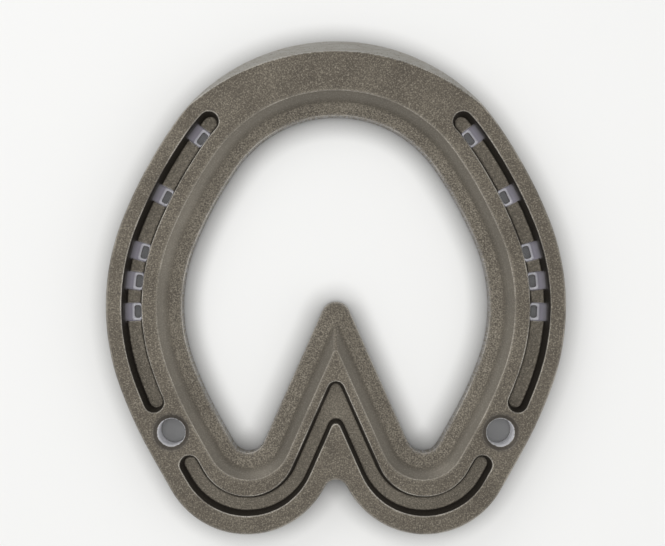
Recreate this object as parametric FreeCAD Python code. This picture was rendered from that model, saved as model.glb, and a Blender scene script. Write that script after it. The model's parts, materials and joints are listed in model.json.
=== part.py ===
"""Heart-bar horseshoe: one drop forging with fullered nail grooves, stud holes and a frog plate.

The shoe lies on its hoof face, so z = 0 is the face that meets the hoof and the ground face looks up.
+Y points to the toe, +X to the right branch seen from above, and the origin is the centre of the
shoe's plan box. All sizes are millimetres, all angles degrees.

The outer edge is a chain of tangent runs walked clockwise from the toe. A place on the shoe is
given by its way along that edge and its depth, the distance in from the edge.
"""
import FreeCAD, Part
import os
from math import acos, asin, cos, degrees, radians, sin, sqrt, tan

from FreeCAD import Vector

# Overall sizes
SHOE_WIDTH = 133.0
SHOE_LENGTH = 143.0
THICKNESS = 10.0
WEB = 21.7                      # width of the rim, the same all round

# Outer edge: headings are clockwise from +X, and each run ends at its own heading
TOE_HEADING = 55.0
SHOULDER_HEADING = 68.0
QUARTER_HEADING = 110.0
BRANCH_HEADING = 119.5
SHOULDER_RADIUS = 137.0
BRANCH_RADIUS = 132.0
BRANCH_STRAIGHT = 11.5
HEEL_RADIUS = 25.2
CLEFT_DEEP = 15.8               # of the notch between the two heels

# Frog plate
PLATE_SIDE_ANGLE = 66.0         # of its sides, from the line across the heels
PLATE_SIDE_WEB = 21.37          # from the heel's edge, where it heads up the plate, to the plate's side
PLATE_TIP_RADIUS = 4.3
OPENING_CORNER_RADIUS = 5.0

# Seated-out band on the ground face, next to the opening: a slope, then a flatter shelf
BAND_WIDTH = 7.0
PLATE_BAND_WIDTH = 7.8
SLOPE_RUN = 3.2
SLOPE_DROP = 2.5
SHELF_FALL = 0.28               # fall of the shelf per millimetre towards the opening
BAND_APEX_RADIUS = 0.8

# Rolled toe
TOE_ROLL_WIDTH = 3.5
TOE_ROLL_HALF_SPAN = 44.0
TOE_ROLL_ANGLE = 45.0

# Nail groove in each branch
NAIL_GROOVE_START = 44.7        # along the outer edge from the toe
NAIL_GROOVE_DEPTH_IN = 4.6      # from the outer edge to the near side of its mouth
NAIL_GROOVE_WIDTH = 5.8
NAIL_GROOVE_DEEP = 6.0
GROOVE_DRAFT = 0.8              # how much each wall leans in, from mouth to floor

# Nail holes, punched through the groove floor
NAIL_HOLE_WAYS = (53.3, 74.9, 94.0, 103.8, 114.0)
POCKET_LENGTH = 5.1
POCKET_TOP = 2.1                # below the ground face, where the punch marks the outer wall
POCKET_BITE = 0.3               # of the punch into the outer side of the groove mouth
POCKET_SLOPE_DEEP = 5.6         # below the ground face, where the sloping face starts
POCKET_FLOOR_IN = 6.8           # from the outer edge to the pocket's level floor
POCKET_FLOOR_WIDTH = 2.5
POCKET_FLOOR = 1.0              # height of that floor over the hoof face
POCKET_INNER_FLARE = 0.5
NAIL_WIDTH = 1.9                # of the hole in the middle of the pocket's floor
NAIL_LENGTH = 3.7

# Stud holes, one at each heel
STUD_BORE_RADIUS = 3.97         # tapping size for a 3/8 inch stud
STUD_SINK_RADIUS = 5.3
STUD_SINK_DEEP = 0.8
STUD_BACK = 14.7                # along the edge, from the start of the heel curve to the bore
STUD_DEPTH_IN = 8.2
GROOVE_TO_STUD = 2.4            # metal left between the nail groove and the countersink
STUD_TO_HEEL_GROOVE = 2.8

# Heel groove, one run round both heels and over the frog plate
HEEL_GROOVE_DEPTH_IN = 5.4
HEEL_GROOVE_WIDTH = 5.6
HEEL_GROOVE_DEEP = 5.0
HEEL_GROOVE_PEAK_RADIUS = 2.5   # rounding of its upper side over the plate
HEEL_GROOVE_RIDGE_RADIUS = 1.4  # rounding of its lower side

EDGE_RADIUS = 0.6               # of the outer edge of both faces
CLEAR = 1.0                     # how far a cutter reaches past the metal

PLATE_HEADING = 180.0 + PLATE_SIDE_ANGLE
HALF_PEAK = radians(90.0 - PLATE_SIDE_ANGLE)


def along(heading):
    """Unit vector of travel."""
    return Vector(cos(radians(heading)), -sin(radians(heading)), 0)


def inward(heading):
    """Unit vector to the right of travel, into the metal."""
    return Vector(-sin(radians(heading)), -cos(radians(heading)), 0)


class Run:
    """One arc or straight of the outer edge."""

    def __init__(self, start, way, heading, length, radius=None):
        self.start = start
        self.way = way
        self.heading = heading
        self.length = length
        self.radius = radius

    def turned(self, step):
        """Heading after a step along this run."""
        if self.radius is None:
            return self.heading
        return self.heading + degrees(step / self.radius)

    def point(self, step, depth=0.0):
        """Point a step along this run and a depth in from the edge."""
        if self.radius is None:
            return self.start + along(self.heading) * step + inward(self.heading) * depth
        centre = self.start + inward(self.heading) * self.radius
        return centre - inward(self.turned(step)) * (self.radius - depth)

    def edge(self, first, last, depth, z):
        """The run's line between two steps, at a depth and a height."""
        lift = Vector(0, 0, z)
        ends = (self.point(first, depth) + lift, self.point(last, depth) + lift)
        if self.radius is None:
            return Part.makeLine(*ends)
        middle = self.point((first + last) / 2, depth) + lift
        return Part.Arc(ends[0], middle, ends[1]).toShape()


def solved_radii():
    """Toe and quarter radii that give the named overall width and length."""
    toe, shoulder = radians(TOE_HEADING), radians(SHOULDER_HEADING)
    quarter, branch = radians(QUARTER_HEADING), radians(BRANCH_HEADING)
    # Half the width is where the edge heads straight back; the length ends at the heel's lowest point.
    wide = SHOE_WIDTH / 2 - SHOULDER_RADIUS * (sin(shoulder) - sin(toe))
    long = SHOE_LENGTH - SHOULDER_RADIUS * (cos(toe) - cos(shoulder))
    long -= BRANCH_RADIUS * (cos(quarter) - cos(branch))
    long -= BRANCH_STRAIGHT * sin(branch) + HEEL_RADIUS * (cos(branch) + 1)
    toe_wide, quarter_wide = sin(toe), 1 - sin(shoulder)
    toe_long, quarter_long = 1 - cos(toe), cos(shoulder) - cos(quarter)
    scale = toe_wide * quarter_long - toe_long * quarter_wide
    toe_radius = (wide * quarter_long - long * quarter_wide) / scale
    quarter_radius = (toe_wide * long - toe_long * wide) / scale
    return toe_radius, quarter_radius


def outer_runs():
    """The right half of the outer edge, from the toe to where the heel turns up the frog plate."""
    toe_radius, quarter_radius = solved_radii()
    plan = (
        (toe_radius, TOE_HEADING),
        (SHOULDER_RADIUS, SHOULDER_HEADING),
        (quarter_radius, QUARTER_HEADING),
        (BRANCH_RADIUS, BRANCH_HEADING),
        (None, BRANCH_HEADING),
        (HEEL_RADIUS, PLATE_HEADING),
    )
    runs, point, way, heading = [], Vector(0, SHOE_LENGTH / 2, 0), 0.0, 0.0
    for radius, to_heading in plan:
        length = BRANCH_STRAIGHT if radius is None else radius * radians(to_heading - heading)
        run = Run(point, way, heading, length, radius)
        runs.append(run)
        point, way, heading = run.point(length), way + length, to_heading
    return runs


RUNS = outer_runs()
HEEL = RUNS[-1]
HEEL_CENTRE = HEEL.point(0, HEEL_RADIUS)

# The cleft is rounded by a circle on the centreline that touches both heel circles.
CLEFT_DROP = HEEL_RADIUS - CLEFT_DEEP
CLEFT_RADIUS = (HEEL_CENTRE.x**2 + CLEFT_DROP**2 - HEEL_RADIUS**2) / (2 * CLEFT_DEEP)
CLEFT_TOP = CLEFT_DEEP - SHOE_LENGTH / 2
CLEFT_HEADING = 180 + degrees(acos((CLEFT_DROP + CLEFT_RADIUS) / (HEEL_RADIUS + CLEFT_RADIUS)))

STUD_WAY = HEEL.way - STUD_BACK
NAIL_GROOVE_END = STUD_WAY - STUD_SINK_RADIUS - GROOVE_TO_STUD
HEEL_GROOVE_START = STUD_WAY + STUD_SINK_RADIUS + STUD_TO_HEEL_GROOVE


def place(way, depth=0.0):
    """Point and heading at a way along the right outer edge and a depth in from it."""
    run = [r for r in RUNS if r.way <= way][-1]
    return run.point(way - run.way, depth), run.turned(way - run.way)


def edge_line(first, last, depth, z):
    """Edges along the right outer edge between two ways, at a depth and a height."""
    lines = []
    for run in RUNS:
        start, stop = max(first, run.way), min(last, run.way + run.length)
        if stop - start > 1e-6:
            lines.append(run.edge(start - run.way, stop - run.way, depth, z))
    return lines


def closed(lines):
    """Closed wire from a right half that starts and ends on the centreline."""
    mirrored = [line.mirror(Vector(), Vector(1, 0, 0)) for line in lines]
    return Part.Wire(Part.__sortEdges__(lines + mirrored))


def sharp_peak(depth):
    """Where the line that leaves the heel up the plate, at a depth, meets the centreline."""
    turned = HEEL.point(HEEL.length, depth)
    return turned.y + turned.x / tan(HALF_PEAK)


def peak(sharp_y, radius, z):
    """Right half of a rounded peak on the centreline, and the point where it meets its side."""
    centre_y = sharp_y - radius / sin(HALF_PEAK)
    turn = (0.0, radians(PLATE_SIDE_ANGLE) / 2, radians(PLATE_SIDE_ANGLE))
    points = [Vector(radius * sin(a), centre_y + radius * cos(a), z) for a in turn]
    return Part.Arc(*points).toShape(), points[2]


def prism(wire, low, high):
    """Upright solid over a flat wire."""
    face = Part.Face(wire)
    face.translate(Vector(0, 0, low - wire.BoundBox.ZMin))
    return face.extrude(Vector(0, 0, high - low))


def blank():
    """The forging's outer shape, with no opening."""
    lines = edge_line(0, HEEL.way, 0, 0)
    heel_turn = HEEL_RADIUS * radians(CLEFT_HEADING - BRANCH_HEADING)
    lines.append(HEEL.edge(0, heel_turn, 0, 0))
    touch = HEEL.point(heel_turn)
    half_turn = asin(touch.x / CLEFT_RADIUS) / 2
    sag = CLEFT_RADIUS * (1 - cos(half_turn))
    middle = Vector(CLEFT_RADIUS * sin(half_turn), CLEFT_TOP - sag, 0)
    lines.append(Part.Arc(touch, middle, Vector(0, CLEFT_TOP, 0)).toShape())
    solid = prism(closed(lines), 0, THICKNESS)
    rim = [e for e in solid.Edges if abs(e.CenterOfMass.z - THICKNESS / 2) > THICKNESS / 2 - 1e-6]
    return solid.makeFillet(EDGE_RADIUS, rim)


def opening_wire(rim_grow, plate_grow, tip_radius, z):
    """Outline of the opening, grown into the rim and into the frog plate."""
    depth = WEB - rim_grow
    lines = edge_line(0, HEEL.way - BRANCH_STRAIGHT, depth, z)
    sharp_y = sharp_peak(PLATE_SIDE_WEB - plate_grow)
    # The branch's side and the plate's side meet in a corner, which is then rounded.
    foot = place(HEEL.way - BRANCH_STRAIGHT, depth)[0]
    down, side = along(BRANCH_HEADING), -along(PLATE_HEADING)
    cross = down.x * side.y - down.y * side.x
    apart = Vector(0, sharp_y, 0) - foot
    corner = foot + down * ((apart.x * side.y - apart.y * side.x) / cross)
    corner_radius = OPENING_CORNER_RADIUS + (rim_grow + plate_grow) / 2
    half_corner = radians(PLATE_HEADING - BRANCH_HEADING) / 2
    back = corner_radius * tan(half_corner)
    bisector = (-down - side).normalize()
    nearest = corner + bisector * (corner_radius * (1 / cos(half_corner) - 1))
    lift = Vector(0, 0, z)
    tip_arc, tip_foot = peak(sharp_y, tip_radius, z)
    ends = (corner - down * back + lift, corner - side * back + lift)
    lines.append(Part.makeLine(foot + lift, ends[0]))
    lines.append(Part.Arc(ends[0], nearest + lift, ends[1]).toShape())
    lines.append(Part.makeLine(ends[1], tip_foot))
    lines.append(tip_arc)
    return closed(lines)


def opening():
    """Cutter for the opening between the rim and the frog plate."""
    return prism(opening_wire(0, 0, PLATE_TIP_RADIUS, 0), -CLEAR, THICKNESS + CLEAR)


def band():
    """Cutter for the seated-out band: a slope down from the ground face, then the shelf."""
    rim_shelf, plate_shelf = BAND_WIDTH - SLOPE_RUN, PLATE_BAND_WIDTH - SLOPE_RUN
    shelf_top = THICKNESS - SLOPE_DROP
    shelf_end = shelf_top - SHELF_FALL * ((rim_shelf + plate_shelf) / 2 + CLEAR)
    mouth = opening_wire(BAND_WIDTH, PLATE_BAND_WIDTH, BAND_APEX_RADIUS, THICKNESS)
    bend = opening_wire(rim_shelf, plate_shelf, BAND_APEX_RADIUS, shelf_top)
    end = opening_wire(-CLEAR, -CLEAR, PLATE_TIP_RADIUS + CLEAR, shelf_end)
    return Part.makeLoft([end, bend, mouth], True, True)


def toe_roll():
    """Cutter for the rolled toe: what lies outside a cone that runs out at both shoulders."""
    toe_radius = RUNS[0].radius
    toe_centre = SHOE_LENGTH / 2 - toe_radius
    end_y = toe_centre + sqrt(toe_radius**2 - TOE_ROLL_HALF_SPAN**2)
    rise = SHOE_LENGTH / 2 - TOE_ROLL_WIDTH - end_y
    radius = (rise**2 + TOE_ROLL_HALF_SPAN**2) / (2 * rise)
    centre_y = SHOE_LENGTH / 2 - TOE_ROLL_WIDTH - radius
    slope = tan(radians(TOE_ROLL_ANGLE))
    deep = (TOE_ROLL_WIDTH + CLEAR) / slope
    low, high = THICKNESS - deep, THICKNESS + CLEAR
    cone = Part.makeCone(
        radius + deep * slope, radius - CLEAR * slope, high - low, Vector(0, centre_y, low)
    )
    block = Part.makeBox(
        2 * TOE_ROLL_HALF_SPAN,
        SHOE_LENGTH / 2 + CLEAR - end_y,
        high - low,
        Vector(-TOE_ROLL_HALF_SPAN, end_y, low),
    )
    return block.cut(cone)


def nail_groove_wire(inset, z):
    """Outline of the right nail groove, drawn in by an inset all round."""
    near, far = NAIL_GROOVE_DEPTH_IN + inset, NAIL_GROOVE_DEPTH_IN + NAIL_GROOVE_WIDTH - inset
    first = NAIL_GROOVE_START + NAIL_GROOVE_WIDTH / 2
    last = NAIL_GROOVE_END - NAIL_GROOVE_WIDTH / 2
    lines = edge_line(first, last, near, z) + edge_line(first, last, far, z)
    for way, sign in ((first, -1), (last, 1)):
        middle, heading = place(way, (near + far) / 2)
        reach = along(heading) * (sign * (far - near) / 2)
        points = (place(way, near)[0], middle + reach, place(way, far)[0])
        lines.append(Part.Arc(*[p + Vector(0, 0, z) for p in points]).toShape())
    return Part.Wire(Part.__sortEdges__(lines))


def nail_groove():
    """Cutter for the right nail groove."""
    floor = nail_groove_wire(GROOVE_DRAFT, THICKNESS - NAIL_GROOVE_DEEP)
    return Part.makeLoft([floor, nail_groove_wire(0, THICKNESS)], True, True)


def heel_groove_wire(inset, z):
    """Outline of the heel groove, drawn in by an inset all round."""
    near, far = HEEL_GROOVE_DEPTH_IN + inset, HEEL_GROOVE_DEPTH_IN + HEEL_GROOVE_WIDTH - inset
    first = HEEL_GROOVE_START + HEEL_GROOVE_WIDTH / 2
    lines = []
    for depth, radius in ((near, HEEL_GROOVE_RIDGE_RADIUS + inset), (far, HEEL_GROOVE_PEAK_RADIUS - inset)):
        lines += edge_line(first, HEEL.way + HEEL.length, depth, z)
        peak_arc, foot = peak(sharp_peak(depth), radius, z)
        lines.append(Part.makeLine(HEEL.point(HEEL.length, depth) + Vector(0, 0, z), foot))
        lines.append(peak_arc)
    middle, heading = place(first, (near + far) / 2)
    cap = (place(first, near)[0], middle - along(heading) * ((far - near) / 2), place(first, far)[0])
    lines.append(Part.Arc(*[p + Vector(0, 0, z) for p in cap]).toShape())
    return closed(lines)


def heel_groove():
    """Cutter for the heel groove."""
    floor = heel_groove_wire(GROOVE_DRAFT, THICKNESS - HEEL_GROOVE_DEEP)
    return Part.makeLoft([floor, heel_groove_wire(0, THICKNESS)], True, True)


def nail_hole(way):
    """Cutter for one nail hole: a punched pocket with a sloping outer face, and the hole below it."""
    point, heading = place(way)
    far = POCKET_FLOOR_IN + POCKET_FLOOR_WIDTH
    top, slope_top = THICKNESS - POCKET_TOP, THICKNESS - POCKET_SLOPE_DEEP
    outer = NAIL_GROOVE_DEPTH_IN + POCKET_BITE
    profile = (
        (outer, top),
        (outer, slope_top),
        (POCKET_FLOOR_IN, POCKET_FLOOR),
        (far, POCKET_FLOOR),
        (far + POCKET_INNER_FLARE, top),
    )
    corners = [point + inward(heading) * depth + Vector(0, 0, z) for depth, z in profile]
    corners = [c - along(heading) * (POCKET_LENGTH / 2) for c in corners]
    face = Part.Face(Part.makePolygon(corners + corners[:1]))
    pocket = face.extrude(along(heading) * POCKET_LENGTH)
    middle = POCKET_FLOOR_IN + POCKET_FLOOR_WIDTH / 2
    hole = Part.makeBox(NAIL_LENGTH, NAIL_WIDTH, POCKET_FLOOR + 2 * CLEAR)
    hole.translate(Vector(-NAIL_LENGTH / 2, -middle - NAIL_WIDTH / 2, -CLEAR))
    hole.rotate(Vector(), Vector(0, 0, 1), -heading)
    hole.translate(point)
    return pocket.fuse(hole)


def stud_hole():
    """Cutter for the right stud hole, with its countersink."""
    centre = place(STUD_WAY, STUD_DEPTH_IN)[0]
    bore = Part.makeCylinder(STUD_BORE_RADIUS, THICKNESS + 2 * CLEAR, centre - Vector(0, 0, CLEAR))
    widen = (STUD_SINK_RADIUS - STUD_BORE_RADIUS) / STUD_SINK_DEEP
    sink = Part.makeCone(
        STUD_BORE_RADIUS,
        STUD_SINK_RADIUS + CLEAR * widen,
        STUD_SINK_DEEP + CLEAR,
        centre + Vector(0, 0, THICKNESS - STUD_SINK_DEEP),
    )
    return bore.fuse(sink)


def shoe():
    """The finished forging."""
    right_branch = [nail_groove(), stud_hole()] + [nail_hole(way) for way in NAIL_HOLE_WAYS]
    left_branch = [cutter.mirror(Vector(), Vector(1, 0, 0)) for cutter in right_branch]
    solid = blank()
    for cutter in [opening(), band(), toe_roll(), heel_groove()] + right_branch + left_branch:
        solid = solid.cut(cutter)
    return solid.removeSplitter()


os.makedirs("parts", exist_ok=True)
shoe().exportStep("parts/shoe.step")
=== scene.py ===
"""Heart-bar horseshoe: the forging as it leaves the dies, and a plain stage to see it on.

The shoe lies on its hoof face with the ground face up and the toe along +Y. Sizes are metres.
"""

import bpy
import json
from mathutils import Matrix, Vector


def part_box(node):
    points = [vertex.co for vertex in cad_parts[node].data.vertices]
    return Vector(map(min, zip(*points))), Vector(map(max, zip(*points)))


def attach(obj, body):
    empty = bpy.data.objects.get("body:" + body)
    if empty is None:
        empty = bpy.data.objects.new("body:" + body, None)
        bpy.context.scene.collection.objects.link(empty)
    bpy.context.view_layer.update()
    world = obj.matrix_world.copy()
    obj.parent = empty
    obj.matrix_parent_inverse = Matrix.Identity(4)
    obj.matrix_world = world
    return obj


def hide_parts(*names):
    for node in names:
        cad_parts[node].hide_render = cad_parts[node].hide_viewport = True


bl_info = {
    "name": "Heart-bar horseshoe",
    "version": (1, 0, 0),
    "blender": (4, 5, 0),
    "location": "3D View > Sidebar > Horseshoe",
    "description": "Builds a forged horseshoe with a frog plate, and a studio stage",
    "category": "Add Mesh",
}

import json

import bpy
import numpy as np
from bpy.props import FloatProperty, FloatVectorProperty, IntProperty, PointerProperty
from mathutils import Vector, noise
from mathutils.bvhtree import BVHTree

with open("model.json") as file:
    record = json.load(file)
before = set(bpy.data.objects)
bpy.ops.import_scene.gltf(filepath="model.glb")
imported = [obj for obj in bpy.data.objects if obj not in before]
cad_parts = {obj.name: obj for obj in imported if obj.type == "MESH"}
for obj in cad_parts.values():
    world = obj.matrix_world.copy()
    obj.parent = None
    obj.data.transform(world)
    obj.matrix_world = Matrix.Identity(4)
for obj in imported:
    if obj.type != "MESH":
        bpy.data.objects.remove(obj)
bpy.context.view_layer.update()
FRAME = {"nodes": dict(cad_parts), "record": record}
LOW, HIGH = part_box("shoe")
MOUNTS = {mount["name"]: Vector(mount["pos_m"]) for mount in FRAME["record"]["mounts"]}
NAIL_HOLES = [place for name, place in MOUNTS.items() if name.startswith("nail_hole")]
STUD_HOLES = [place for name, place in MOUNTS.items() if name.startswith("stud_hole")]

# Each zone of the forging has its own colour, held as a value from 0 to 1 at every vertex: mostly finishes,
# with painted shade in the groove walls and countersinks and painted highlights on the slope, the nail
# pockets and the sharp edges.
ZONES = (
    "groove_floor", "groove_wall", "slope", "shelf", "ground", "punched", "bored", "sunk", "flank", "wear"
)
SOFT_ZONES = ("slope", "shelf", "flank", "sunk")

# A face's tilt is the upward part of its normal: 1 is level and facing up, 0 is upright.
LEVEL = 0.99
DRAFT_TILTS = (0.1, 0.2)
SLOPE_TILTS = (0.6, 0.9)
SHELF_TILTS = (0.93, 0.98)
UPRIGHT = 0.05
BORE_TILT = 0.3
POCKET_TILT = -0.5

# Where the zones lie, in metres: heights are over the hoof face, reaches are round a hole's mount.
LOWEST_GROOVE_FLOOR = 0.0035
GROOVE_FLOOR_UNDER_FACE = 0.004
POCKET_REACH = 0.0043
POCKET_FLOOR = 0.002
STUD_REACH = 0.0056

# A leaning face past this share of the way to the toe's tip belongs to the rolled toe.
TOE_SHARE = 0.65

# Heights between which a colour changes: foot and mouth of the slope, top and foot of a nail pocket, and
# the rim round the hole in it. The slope is painted lighter above its foot, the pocket is painted dark as
# shade at its top and lighter at its foot, and the rim is a painted highlight.
SLOPE_HEIGHTS = (0.0073, 0.0087)
POCKET_HEIGHTS = (0.0058, 0.0024)
RIM_HEIGHTS = (0.0016, 0.0011)

# How far a vertex's mean rise over its neighbours is scaled up to count as a sharp edge.
EDGE_GAIN = 4

# The punched and bored steel is bright and half matt, so it is shaded as mostly not metallic.
BRIGHT_METALLIC = 0.25

# Lamps of the stage: place, width and which setting gives the power.
LAMPS = {
    "key": ((-0.45, 0.65, 0.55), 0.5, "key"),
    "fill": ((0.70, -0.25, 0.50), 0.7, "fill"),
    "high_left": ((-0.48, 0.02, 0.70), 0.3, "high"),
    "top": ((0.0, 0.02, 0.85), 0.3, "top"),
}

# The floor's colour is painted darker within this distance of the shoe, as a contact shadow, in metres.
CONTACT_SHADE = 0.007
CONTACT_SAMPLES = 8
FLOOR_ROUGHNESS = 0.9

# The camera sees nothing nearer than this, in metres.
NEAREST_SEEN = 0.01

# Passes that soften the border between two zones, each about one mesh step wide.
SOFT_PASSES = 8


def colour(name, description, default):
    """A colour that a user can change."""
    return FloatVectorProperty(
        name=name, description=description, default=default, size=4, min=0, max=1, subtype="COLOR"
    )


def length(name, description, default):
    """A length in metres that a user can change."""
    return FloatProperty(
        name=name, description=description, default=default, min=0, precision=5, unit="LENGTH",
        subtype="DISTANCE"
    )


def share(name, description, default, most=1.0):
    """A plain factor that a user can change."""
    return FloatProperty(name=name, description=description, default=default, min=0, max=most)


def power(name, description, default):
    """A lamp's power that a user can change."""
    return FloatProperty(name=name, description=description, default=default, min=0, unit="POWER")


class ForgingSettings(bpy.types.PropertyGroup):
    """Surface detail and colours of the forging."""

    mesh_step: length("Mesh step", "Distance between the mesh's points", 0.0003)
    rounding: IntProperty(
        name="Rounding", description="Smoothing passes over the edges", default=3, min=0, max=20
    )
    uneven_size: length("Unevenness size", "Width of the dies' slow waves", 0.011)
    uneven_depth: length("Unevenness depth", "Depth of the dies' slow waves", 0.00005)
    grain_size: length("Grain size", "Width of the blasted grain", 0.00042)
    grind_size: length("Grinding lines", "Width of the lines on the rolled toe", 0.0006)
    trim_size: length("Trimming scores", "Width of the scores on the walls", 0.0005)
    ring_size: length("Drill rings", "Height of the rings in the stud holes", 0.0006)
    grain_depth: length("Grain depth", "Depth of the blasted grain", 0.00014)
    face: colour("Face", "Blasted steel", (0.140, 0.123, 0.098, 1))
    face_dark: colour("Face, dark", "Oiled patches of the blasted steel", (0.108, 0.094, 0.075, 1))
    speck: colour("Speck", "Bright grains in the blasted steel", (0.265, 0.241, 0.198, 1))
    # Painted light: the slope's upper side gets this lighter colour in place of the light that falls on it.
    slope_top_painted_light: colour("Slope, top", "Upper side of the band's slope", (0.26, 0.24, 0.205, 1))
    # Dark pits of the blasted grain, and also painted shade in the groove walls, the countersinks round the
    # stud holes and the tops of the nail pockets.
    groove: colour("Groove", "Steel in the pressed grooves", (0.085, 0.076, 0.066, 1))
    ground_steel: colour("Ground steel", "The rolled toe", (0.37, 0.36, 0.335, 1))
    # Partly bright punched steel and partly painted light, put lighter towards the foot of each nail
    # pocket.
    punched_steel_and_painted_light: colour("Punched steel", "The nail pockets", (0.54, 0.52, 0.58, 1))
    # Near-white: partly bright bored steel and partly a painted highlight, on the stud bores and on the rim
    # round each nail hole.
    bored_steel_and_highlight: colour("Bored steel", "The stud holes", (0.97, 0.97, 1.0, 1))
    trimmed_steel: colour("Trimmed steel", "The outer and inner walls", (0.44, 0.43, 0.43, 1))
    # Partly wear and partly a painted highlight along every sharp edge.
    worn_steel_and_highlight: colour("Worn steel", "Rubbed edges", (0.80, 0.76, 0.68, 1))


class StageSettings(bpy.types.PropertyGroup):
    """Floor, light and camera."""

    floor: colour("Floor", "Floor and backdrop", (0.80, 0.80, 0.79, 1))
    floor_size: length("Floor size", "Width of the floor", 4.0)
    sky: share("Sky", "Level of the light from all round", 0.70, 4.0)
    key: power("Key", "Lamp beyond the toe", 1.3)
    fill: power("Fill", "Lamp at the right heel", 1.1)
    high: power("High", "High lamp on the left", 0.8)
    top: power("Top", "Lamp straight above", 1.7)
    camera_height: length("Camera height", "Over the ground face", 0.380)
    camera_view: length("Camera view", "Width seen at the ground face", 0.1917)
    camera_over: FloatVectorProperty(
        name="Camera over", description="Point under the camera", default=(-0.00098, 0.0040), size=2,
        precision=5, unit="LENGTH", subtype="XYZ"
    )


def rows(items, name, width=3, kind=np.float32):
    """One value of every item of a mesh, a row each."""
    found = np.empty(len(items) * width, kind)
    items.foreach_get(name, found)
    return found.reshape(-1, width)


def edge_ends(mesh):
    """The first and the second vertex of every edge."""
    return rows(mesh.edges, "vertices", 2, np.int32).T


def zone_of_faces(mesh):
    """For each face of the CAD mesh, which zones it belongs to, from its tilt, height and place."""
    normal, centre = rows(mesh.polygons, "normal"), rows(mesh.polygons, "center")
    tilt, height = normal[:, 2], centre[:, 2]

    def near(places, reach):
        gaps = [np.hypot(centre[:, 0] - p.x, centre[:, 1] - p.y) for p in places]
        return np.min(gaps, axis=0) < reach

    def between(limits):
        return (tilt > limits[0]) & (tilt < limits[1])

    level = np.abs(tilt) > LEVEL
    drafted = between(DRAFT_TILTS)
    in_pocket = ~(level & (height > POCKET_FLOOR)) & (tilt > POCKET_TILT)
    punched = near(NAIL_HOLES, POCKET_REACH) & ~drafted & in_pocket
    at_stud = near(STUD_HOLES, STUD_REACH) & ~level
    bored = at_stud & (tilt < BORE_TILT)
    leaning = between(SLOPE_TILTS) & ~at_stud & ~punched
    ground = leaning & (centre[:, 1] > HIGH.y * TOE_SHARE) & (normal[:, 1] > 0)
    sunk_floor = (height > LOWEST_GROOVE_FLOOR) & (height < HIGH.z - GROOVE_FLOOR_UNDER_FACE)
    return {
        "groove_floor": (tilt > LEVEL) & sunk_floor,
        "groove_wall": drafted & ~punched,
        "slope": leaning & ~ground,
        "shelf": between(SHELF_TILTS) & ~at_stud & ~punched,
        "ground": ground,
        "punched": punched,
        "bored": bored,
        "sunk": at_stud & ~bored,
        "flank": (np.abs(tilt) < UPRIGHT) & ~punched & ~bored,
    }


def rounded_copy(node, settings):
    """Mesh of the CAD solid in small even quads, with its edges rounded as the dies leave them."""
    work = bpy.data.objects.new("work", node.data.copy())
    bpy.context.scene.collection.objects.link(work)
    even = work.modifiers.new("even", "REMESH")
    even.mode = "VOXEL"
    even.voxel_size = settings.mesh_step
    soften = work.modifiers.new("soften", "SMOOTH")
    soften.factor = 0.5
    soften.iterations = settings.rounding
    made = bpy.data.meshes.new_from_object(work.evaluated_get(bpy.context.evaluated_depsgraph_get()))
    bpy.data.objects.remove(work)
    return made


def make_uneven(mesh, size, depth):
    """Sinks the surface by slow waves, never raising it past the solid."""
    points, normals = rows(mesh.vertices, "co"), rows(mesh.vertex_normals, "vector")
    waves = np.array([noise.noise(Vector(p) / size) for p in points], np.float32)
    points -= normals * (depth * (0.5 + 0.5 * waves))[:, None]
    mesh.vertices.foreach_set("co", points.ravel())
    mesh.update()


def edge_sharpness(mesh):
    """How far each vertex stands out from its neighbours, from 0 on flats to 1 on sharp edges."""
    points, normals = rows(mesh.vertices, "co"), rows(mesh.vertex_normals, "vector")
    first, second = edge_ends(mesh)
    run = points[second] - points[first]
    reach = np.linalg.norm(run, axis=1) + 1e-9
    total, shared = np.zeros(len(points)), np.zeros(len(points))
    for at, way in ((first, -run), (second, run)):
        np.add.at(total, at, (way * normals[at]).sum(1) / reach)
        np.add.at(shared, at, 1)
    return np.clip(total / np.maximum(shared, 1) * EDGE_GAIN, 0, 1)


def softened(mesh, values, passes):
    """Blurs values over neighbouring vertices."""
    first, second = edge_ends(mesh)
    count = len(values)
    shared = 1 + np.bincount(first, minlength=count) + np.bincount(second, minlength=count)
    for _ in range(passes):
        total = values + np.bincount(first, values[second], count)
        total += np.bincount(second, values[first], count)
        values = total / shared
    return values.astype(np.float32)


def mark_zones(mesh, node):
    """Gives each vertex the zones of the CAD face nearest to it."""
    zones = zone_of_faces(node.data)
    tree = BVHTree.FromPolygons(
        [v.co for v in node.data.vertices], [p.vertices for p in node.data.polygons]
    )
    nearest = np.array([tree.find_nearest(v.co)[2] for v in mesh.vertices])
    values = {name: faces[nearest].astype(np.float32) for name, faces in zones.items()}
    for name in SOFT_ZONES:
        values[name] = softened(mesh, values[name], SOFT_PASSES)
    values["wear"] = edge_sharpness(mesh).astype(np.float32)
    for name in ZONES:
        mesh.attributes.new(name, "FLOAT", "POINT").data.foreach_set("value", values[name])


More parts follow.
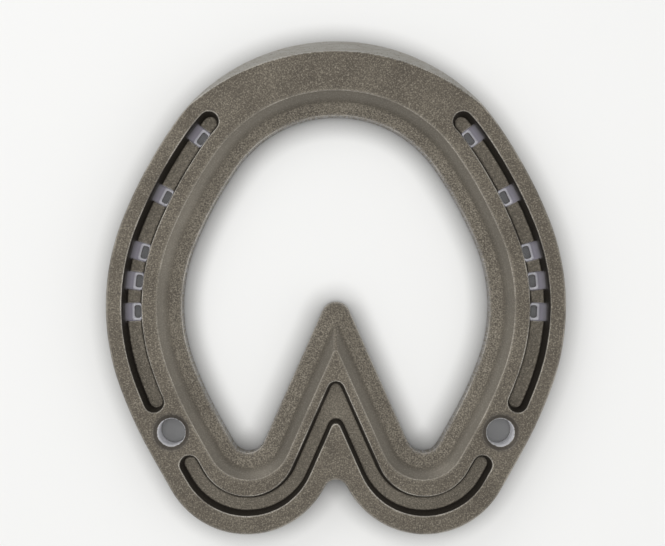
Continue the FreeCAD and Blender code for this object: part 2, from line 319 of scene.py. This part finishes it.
class Nodes:
    """Short names for the shader nodes that the finishes are made of."""

    def __init__(self, material):
        material.use_nodes = True
        self.tree = material.node_tree
        self.tree.nodes.clear()
        self.place = self.add("ShaderNodeTexCoord").outputs["Object"]

    def add(self, kind, **values):
        node = self.tree.nodes.new(kind)
        for name, value in values.items():
            setattr(node, name, value)
        return node

    def put(self, socket, value):
        """Links a socket, or sets a plain value."""
        if isinstance(value, bpy.types.NodeSocket):
            self.tree.links.new(value, socket)
        else:
            socket.default_value = value

    def noise(self, size, detail=2.0, rough=0.5, stretch=(1, 1, 1)):
        """Noise of a given size in metres."""
        scaled = self.add("ShaderNodeMapping")
        self.put(scaled.inputs["Vector"], self.place)
        self.put(scaled.inputs["Scale"], [s / size for s in stretch])
        node = self.add("ShaderNodeTexNoise")
        self.put(node.inputs["Vector"], scaled.outputs["Vector"])
        self.put(node.inputs["Scale"], 1.0)
        self.put(node.inputs["Detail"], detail)
        self.put(node.inputs["Roughness"], rough)
        return node.outputs["Fac"]

    def spread(self, value, low, high, to_low=0.0, to_high=1.0):
        """Maps a range onto another and keeps within it."""
        node = self.add("ShaderNodeMapRange")
        for name, number in (
            ("Value", value), ("From Min", low), ("From Max", high), ("To Min", to_low), ("To Max", to_high)
        ):
            self.put(node.inputs[name], number)
        return node.outputs["Result"]

    def reckon(self, operation, first, second):
        """One step of arithmetic."""
        node = self.add("ShaderNodeMath", operation=operation)
        self.put(node.inputs[0], first)
        self.put(node.inputs[1], second)
        return node.outputs[0]

    def times(self, first, second):
        return self.reckon("MULTIPLY", first, second)

    def larger(self, first, second):
        return self.reckon("MAXIMUM", first, second)

    def mix(self, amount, first, second):
        """Blends two colours."""
        node = self.add("ShaderNodeMix", data_type="RGBA")
        self.put(node.inputs["Factor"], amount)
        self.put(node.inputs[6], first)
        self.put(node.inputs[7], second)
        return node.outputs[2]

    def level(self, amount, first, second):
        """Blends two numbers."""
        node = self.add("ShaderNodeMix", data_type="FLOAT")
        self.put(node.inputs["Factor"], amount)
        self.put(node.inputs[2], first)
        self.put(node.inputs[3], second)
        return node.outputs[0]

    def zone(self, name):
        """A zone's value at the surface."""
        return self.add("ShaderNodeAttribute", attribute_name=name).outputs["Fac"]


def forged_steel(settings):
    """Blasted, lightly oiled steel, with the finishes of the worked zones over it, and painted shade and
    painted highlights in the grooves, slope, pockets and along the edges.
    """
    material = bpy.data.materials.new("forged_steel")
    n = Nodes(material)
    height = n.add("ShaderNodeSeparateXYZ")
    n.put(height.inputs[0], n.place)
    height = height.outputs["Z"]
    zone = {name: n.zone(name) for name in ZONES}

    grain = n.noise(settings.grain_size, detail=3, rough=0.6)
    clouds = n.noise(settings.uneven_size, detail=3)
    fine = n.noise(settings.grain_size * 0.5, detail=1)

    # Blasted face: oiled patches, then dark pits and bright grains.
    face = n.mix(n.spread(clouds, 0.35, 0.65), settings.face_dark, settings.face)
    face = n.mix(n.spread(grain, 0.49, 0.36, 0, 0.85), face, settings.groove)
    face = n.mix(n.spread(grain, 0.52, 0.68, 0, 0.7), face, settings.speck)
    face = n.mix(n.times(zone["shelf"], n.spread(grain, 0.4, 0.6, 0.0, 0.3)), face, settings.speck)

    # Smooth zones keep only a trace of the grain.
    bright = n.larger(zone["punched"], zone["bored"])
    smooth = n.larger(n.larger(zone["slope"], zone["ground"]), bright)
    plain = n.mix(n.spread(clouds, 0.3, 0.7), settings.face_dark, settings.face)
    # Painted light and shade: the slope is lighter towards its mouth than at its foot.
    plain = n.mix(n.spread(height, *SLOPE_HEIGHTS), plain, settings.slope_top_painted_light)
    steel = n.mix(n.times(zone["slope"], 0.5), face, plain)
    # Groove floors are lifted a little towards the speck colour; groove walls and countersinks get the dark
    # groove colour as painted shade.
    steel = n.mix(n.times(zone["groove_floor"], 0.2), steel, settings.speck)
    steel = n.mix(n.times(zone["groove_wall"], 0.85), steel, settings.groove)
    steel = n.mix(n.times(zone["sunk"], 0.9), steel, settings.groove)

    # Rolled toe: ground lines that run across it.
    grind = n.noise(settings.grind_size, detail=2, stretch=(0.12, 1, 1))
    ground = n.mix(n.spread(grind, 0.4, 0.62, 0, 0.35), settings.ground_steel, settings.speck)
    ground = n.mix(n.spread(grain, 0.44, 0.34, 0, 0.5), ground, settings.face)
    steel = n.mix(zone["ground"], steel, ground)

    # Trimmed walls: scored from face to face by the trimming die.
    scored_wall = n.noise(settings.trim_size, detail=2, stretch=(1, 1, 0.1))
    trimmed = n.mix(n.spread(scored_wall, 0.35, 0.65), settings.trimmed_steel, settings.speck)
    steel = n.mix(n.times(zone["flank"], 0.85), steel, trimmed)

    # Punched faces: bright punched steel with painted light over it, painted dark as shade at the top of
    # the pocket, lighter towards its foot, and near-white on the rim round the hole as a painted highlight.
    punched = n.mix(n.spread(height, *POCKET_HEIGHTS), settings.groove, settings.punched_steel_and_painted_light)
    punched = n.mix(n.spread(height, *RIM_HEIGHTS), punched, settings.bored_steel_and_highlight)
    steel = n.mix(zone["punched"], steel, punched)

    # Stud holes: fine rings left by the drill, on a near-white wall that is partly bright bored steel and
    # partly a painted highlight.
    rings = n.noise(settings.ring_size, detail=2, stretch=(0.08, 0.08, 1))
    bored = n.mix(n.spread(rings, 0.35, 0.65, 0.6, 1.0), settings.ground_steel, settings.bored_steel_and_highlight)
    steel = n.mix(zone["bored"], steel, bored)

    # Rubbed edges, in patches, in a light colour that is partly wear and partly a painted highlight along
    # the sharp edges.
    rubbed_and_highlight = n.times(n.spread(zone["wear"], 0.15, 0.5), n.spread(fine, 0.4, 0.6, 0.35, 1.0))
    rubbed_and_highlight = n.times(rubbed_and_highlight, n.spread(clouds, 0.35, 0.6, 0.25, 1.0))
    steel = n.mix(n.times(rubbed_and_highlight, 0.7), steel, settings.worn_steel_and_highlight)

    rough = n.spread(grain, 0.3, 0.7, 0.62, 0.5)
    rough = n.level(smooth, rough, n.spread(clouds, 0.3, 0.7, 0.52, 0.44))

    grainy = n.reckon("SUBTRACT", 1.0, n.times(smooth, 0.6))
    bump = n.add("ShaderNodeBump")
    n.put(bump.inputs["Strength"], grainy)
    n.put(bump.inputs["Distance"], settings.grain_depth)
    n.put(bump.inputs["Height"], grain)
    scored = n.add("ShaderNodeBump")
    n.put(scored.inputs["Strength"], n.times(zone["ground"], 0.6))
    n.put(scored.inputs["Distance"], settings.grain_depth * 0.3)
    n.put(scored.inputs["Height"], grind)
    n.put(scored.inputs["Normal"], bump.outputs["Normal"])

    shader = n.add("ShaderNodeBsdfPrincipled")
    n.put(shader.inputs["Metallic"], n.level(bright, 1.0, BRIGHT_METALLIC))
    n.put(shader.inputs["Base Color"], steel)
    n.put(shader.inputs["Roughness"], rough)
    n.put(shader.inputs["Normal"], scored.outputs["Normal"])
    n.put(n.add("ShaderNodeOutputMaterial").inputs["Surface"], shader.outputs["BSDF"])
    return material


class HORSESHOE_OT_forging(bpy.types.Operator):
    """Make the forged shoe from its CAD solid"""

    bl_idname = "horseshoe.forging"
    bl_label = "Forged shoe"

    def execute(self, context):
        settings = context.scene.horseshoe_forging
        node = FRAME["nodes"]["shoe"]
        mesh = rounded_copy(node, settings)
        mark_zones(mesh, node)
        make_uneven(mesh, settings.uneven_size, settings.uneven_depth)
        mesh.shade_smooth()
        mesh.materials.clear()
        mesh.materials.append(forged_steel(settings))
        shoe = bpy.data.objects.new("forged_shoe", mesh)
        context.scene.collection.objects.link(shoe)
        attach(shoe, "root")
        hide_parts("shoe")
        return {"FINISHED"}


def area_lamp(name, place, size, strength):
    """A square soft lamp aimed at the shoe."""
    lamp = bpy.data.lights.new(name, "AREA")
    lamp.size = size
    lamp.energy = strength
    holder = bpy.data.objects.new(name, lamp)
    holder.location = place
    holder.rotation_euler = (-Vector(place)).to_track_quat("-Z", "Y").to_euler()
    bpy.context.scene.collection.objects.link(holder)


def matt_floor(tint):
    """Matt floor, its colour painted darker near the shoe as a contact shadow."""
    material = bpy.data.materials.new("matt_floor")
    n = Nodes(material)
    shader = n.add("ShaderNodeBsdfPrincipled")
    contact = n.add("ShaderNodeAmbientOcclusion", samples=CONTACT_SAMPLES)
    n.put(contact.inputs["Color"], tint)
    n.put(contact.inputs["Distance"], CONTACT_SHADE)
    n.put(shader.inputs["Base Color"], contact.outputs["Color"])
    n.put(shader.inputs["Roughness"], FLOOR_ROUGHNESS)
    n.put(n.add("ShaderNodeOutputMaterial").inputs["Surface"], shader.outputs["BSDF"])
    return material


class HORSESHOE_OT_stage(bpy.types.Operator):
    """Set out the floor, the light and the camera"""

    bl_idname = "horseshoe.stage"
    bl_label = "Stage"

    def execute(self, context):
        scene, settings = context.scene, context.scene.horseshoe_stage
        half = settings.floor_size / 2
        mesh = bpy.data.meshes.new("floor")
        corners = [(-half, -half, 0), (half, -half, 0), (half, half, 0), (-half, half, 0)]
        mesh.from_pydata(corners, [], [(0, 1, 2, 3)])
        mesh.materials.append(matt_floor(settings.floor))
        floor = bpy.data.objects.new("floor", mesh)
        floor.location.z = LOW.z
        scene.collection.objects.link(floor)

        scene.world = bpy.data.worlds.new("soft_light")
        scene.world.use_nodes = True
        sky = scene.world.node_tree.nodes["Background"]
        sky.inputs["Color"].default_value = (1, 1, 1, 1)
        sky.inputs["Strength"].default_value = settings.sky
        for name, (place, size, setting) in LAMPS.items():
            area_lamp(name, place, size, getattr(settings, setting))

        lens = bpy.data.cameras.new("camera")
        lens.lens = lens.sensor_width * settings.camera_height / settings.camera_view
        lens.clip_start = NEAREST_SEEN
        camera = bpy.data.objects.new("camera", lens)
        camera.location = (*settings.camera_over, HIGH.z + settings.camera_height)
        scene.collection.objects.link(camera)
        scene.camera = camera
        scene.view_settings.view_transform = "Standard"
        return {"FINISHED"}


class HORSESHOE_PT_panel(bpy.types.Panel):
    """The horseshoe's pieces and stage"""

    bl_idname = "HORSESHOE_PT_panel"
    bl_label = "Horseshoe"
    bl_space_type = "VIEW_3D"
    bl_region_type = "UI"
    bl_category = "Horseshoe"

    def draw(self, context):
        for settings, operator in (
            (context.scene.horseshoe_forging, HORSESHOE_OT_forging),
            (context.scene.horseshoe_stage, HORSESHOE_OT_stage),
        ):
            box = self.layout.box()
            for name in settings.__annotations__:
                box.prop(settings, name)
            box.operator(operator.bl_idname)


CLASSES = (
    ForgingSettings, StageSettings, HORSESHOE_OT_forging, HORSESHOE_OT_stage, HORSESHOE_PT_panel
)


def register():
    for made in CLASSES:
        bpy.utils.register_class(made)
    bpy.types.Scene.horseshoe_forging = PointerProperty(type=ForgingSettings)
    bpy.types.Scene.horseshoe_stage = PointerProperty(type=StageSettings)


def unregister():
    del bpy.types.Scene.horseshoe_stage
    del bpy.types.Scene.horseshoe_forging
    for made in reversed(CLASSES):
        bpy.utils.unregister_class(made)


def main():
    """Builds the shoe and the stage."""
    register()
    bpy.ops.horseshoe.forging()
    bpy.ops.horseshoe.stage()


if __name__ == "__main__":
    main()
